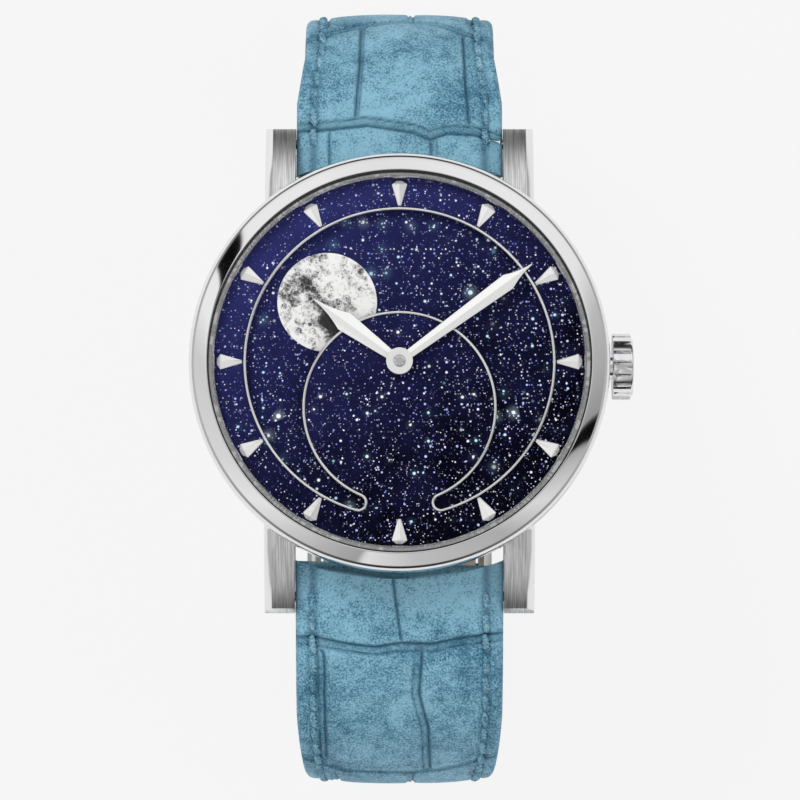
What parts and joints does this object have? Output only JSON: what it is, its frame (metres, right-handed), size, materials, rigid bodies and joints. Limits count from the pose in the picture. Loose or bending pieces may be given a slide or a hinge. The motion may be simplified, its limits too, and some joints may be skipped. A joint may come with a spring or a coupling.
{
  "type": "wristwatch",
  "caption": "Round moon phase wristwatch on a closed leather strap, with hands and moon disc geared together.",
  "frame": {"origin": "under the dial's axis, on the flat outer face of the fixed keeper that the strap stands on", "axes": "+Z out of the dial, +Y towards twelve o'clock, +X towards the crown"},
  "size_m": [0.0424, 0.0766, 0.0529],
  "materials": {
    "polished_steel": "mirror polished stainless steel",
    "brushed_case": "lengthwise brushed stainless steel",
    "sapphire": "clear sapphire",
    "seal": "matte black rubber",
    "blued_screw": "blued polished steel",
    "aventurine": "dark blue aventurine glass with sparkling flecks",
    "silvered_trim": "satin and polished silvered metal",
    "moon_paint": "pale grey cratered relief",
    "brass_support": "turned brass",
    "gilt_wheel": "gilt brass",
    "spring_steel": "hardened grained steel",
    "rhodium_bridge": "striped rhodium plated finish",
    "ruby": "polished ruby",
    "rotor_metal": "striped rotor",
    "strap_leather": "embossed pale blue leather, satin",
    "lining_leather": "plain tan leather"
  },
  "bodies": {
    "root": {"bezel": "polished_steel", "rehaut_ring": "polished_steel", "crown_tube": "polished_steel", "buckle_bar": "polished_steel", "spring_bars": "polished_steel", "case_middle": "brushed_case", "case_back": "brushed_case", "crystal": "sapphire", "back_crystal": "sapphire", "crystal_gasket": "seal", "back_gasket": "seal", "back_screws": "blued_screw", "bridge_screws": "blued_screw", "dial": "aventurine", "aperture_frame": "silvered_trim", "hour_markers": "silvered_trim", "dial_spacer": "brass_support", "movement_ring": "brass_support", "rotor_bearing": "spring_steel", "hairspring": "spring_steel", "main_plate": "rhodium_bridge", "barrel_bridge": "rhodium_bridge", "train_bridge": "rhodium_bridge", "balance_cock": "rhodium_bridge", "pallet_bridge": "rhodium_bridge", "jewels": "ruby", "strap_upper": "strap_leather", "strap_lower": "strap_leather", "fixed_keeper": "strap_leather", "strap_upper_lining": "lining_leather", "strap_lower_lining": "lining_leather"},
    "minute_hand": {"minute_hand": "silvered_trim", "cannon_pinion": "spring_steel"},
    "minute_wheel": {"minute_wheel": "gilt_wheel"},
    "hour_hand": {"hour_hand": "silvered_trim", "hour_wheel": "gilt_wheel"},
    "moon_driver": {"moon_driver": "gilt_wheel"},
    "moon_disc": {"moon_disc": "aventurine", "moon_gear": "gilt_wheel", "moon_relief": "moon_paint"},
    "winding_clutch": {"sliding_pinion": "spring_steel", "winding_pinion": "spring_steel"},
    "crown": {"crown": "polished_steel", "winding_stem": "spring_steel"},
    "crown_wheel": {"crown_wheel": "spring_steel"},
    "ratchet_wheel": {"ratchet_wheel": "spring_steel", "barrel_arbor": "spring_steel"},
    "click": {"click": "spring_steel"},
    "barrel": {"barrel": "gilt_wheel", "mainspring": "spring_steel"},
    "centre_wheel": {"centre_wheel": "gilt_wheel"},
    "third_wheel": {"third_wheel": "gilt_wheel"},
    "fourth_wheel": {"fourth_wheel": "gilt_wheel"},
    "escape_wheel": {"escape_wheel": "spring_steel"},
    "pallet_fork": {"pallet_fork": "spring_steel"},
    "balance_wheel": {"balance_wheel": "gilt_wheel"},
    "rotor": {"rotor": "rotor_metal"},
    "buckle_frame": {"buckle_frame": "polished_steel"},
    "buckle_tongue": {"buckle_tongue": "polished_steel"},
    "free_keeper": {"free_keeper": "strap_leather"}
  },
  "joints": [
    {"name": "minute_hand_turn", "type": "hinge", "parent": "root", "child": "minute_hand", "pos_m": [0, 0, 0.05], "axis": [0, 0, -1], "continuous": true},
    {"name": "minute_wheel_turn", "type": "hinge", "parent": "root", "child": "minute_wheel", "pos_m": [0.0036, 0, 0.0482], "axis": [0, 0, -1], "continuous": true},
    {"name": "hour_hand_turn", "type": "hinge", "parent": "root", "child": "hour_hand", "pos_m": [0, 0, 0.049], "axis": [0, 0, -1], "continuous": true},
    {"name": "moon_driver_turn", "type": "hinge", "parent": "root", "child": "moon_driver", "pos_m": [-0.0066, 0, 0.0486], "axis": [0, 0, -1], "continuous": true},
    {"name": "moon_disc_turn", "type": "hinge", "parent": "root", "child": "moon_disc", "pos_m": [0, 0, 0.049], "axis": [0, 0, -1], "continuous": true},
    {"name": "crown_turn", "type": "hinge", "parent": "root", "child": "winding_clutch", "pos_m": [0, 0, 0.0457], "axis": [1, 0, 0], "continuous": true},
    {"name": "crown_pull", "type": "slide", "parent": "winding_clutch", "child": "crown", "axis": [1, 0, 0], "range_m": [0, 0.0011]},
    {"name": "crown_wheel_turn", "type": "hinge", "parent": "root", "child": "crown_wheel", "pos_m": [0.00665, 0, 0.0436], "axis": [0, 0, 1], "continuous": true},
    {"name": "ratchet_wheel_turn", "type": "hinge", "parent": "root", "child": "ratchet_wheel", "pos_m": [0.0023, 0.00631, 0.0436], "axis": [0, 0, 1], "continuous": true},
    {"name": "click_swing", "type": "hinge", "parent": "root", "child": "click", "pos_m": [-0.00142, 0.01075, 0.0436], "axis": [0, 0, 1], "range_deg": [0, 8]},
    {"name": "barrel_turn", "type": "hinge", "parent": "root", "child": "barrel", "pos_m": [0.0023, 0.00631, 0.0454], "axis": [0, 0, 1], "continuous": true},
    {"name": "centre_wheel_turn", "type": "hinge", "parent": "root", "child": "centre_wheel", "pos_m": [0, 0, 0.0463], "axis": [0, 0, 1], "continuous": true},
    {"name": "third_wheel_turn", "type": "hinge", "parent": "root", "child": "third_wheel", "pos_m": [-0.00507, -0.00185, 0.0454], "axis": [0, 0, 1], "continuous": true},
    {"name": "fourth_wheel_turn", "type": "hinge", "parent": "root", "child": "fourth_wheel", "pos_m": [-0.00507, -0.00661, 0.0459], "axis": [0, 0, 1], "continuous": true},
    {"name": "escape_wheel_turn", "type": "hinge", "parent": "root", "child": "escape_wheel", "pos_m": [-0.00052, -0.00741, 0.0462], "axis": [0, 0, 1], "continuous": true},
    {"name": "pallet_fork_swing", "type": "hinge", "parent": "root", "child": "pallet_fork", "pos_m": [0.00213, -0.00814, 0.0462], "axis": [0, 0, 1], "range_deg": [-5, 5]},
    {"name": "balance_swing", "type": "hinge", "parent": "root", "child": "balance_wheel", "pos_m": [0.00521, -0.009, 0.0456], "axis": [0, 0, 1], "range_deg": [-135, 135]},
    {"name": "rotor_turn", "type": "hinge", "parent": "root", "child": "rotor", "pos_m": [0, 0, 0.043], "axis": [0, 0, 1], "continuous": true},
    {"name": "buckle_frame_swing", "type": "hinge", "parent": "root", "child": "buckle_frame", "pos_m": [0, -0.005, 0.00515], "axis": [1, 0, 0], "range_deg": [-1, 0]},
    {"name": "buckle_tongue_swing", "type": "hinge", "parent": "root", "child": "buckle_tongue", "pos_m": [0, -0.005, 0.00515], "axis": [1, 0, 0], "range_deg": [0, 3]},
    {"name": "free_keeper_slide", "type": "slide", "parent": "root", "child": "free_keeper", "axis": [0, 1, 0], "range_m": [-0.003, 0.003]}
  ],
  "couplings": [
    {"joint": "minute_wheel_turn", "follows": "minute_hand_turn", "ratio": -0.33333},
    {"joint": "hour_hand_turn", "follows": "minute_hand_turn", "ratio": 0.083333},
    {"joint": "moon_driver_turn", "follows": "minute_hand_turn", "ratio": -0.014124},
    {"joint": "moon_disc_turn", "follows": "minute_hand_turn", "ratio": 0.0014124},
    {"joint": "crown_wheel_turn", "follows": "crown_turn", "ratio": 0.47059},
    {"joint": "ratchet_wheel_turn", "follows": "crown_turn", "ratio": -0.38095},
    {"joint": "third_wheel_turn", "follows": "fourth_wheel_turn", "ratio": -0.13333},
    {"joint": "centre_wheel_turn", "follows": "fourth_wheel_turn", "ratio": 0.016667},
    {"joint": "barrel_turn", "follows": "fourth_wheel_turn", "ratio": -0.0027778},
    {"joint": "escape_wheel_turn", "follows": "fourth_wheel_turn", "ratio": -10}
  ]
}
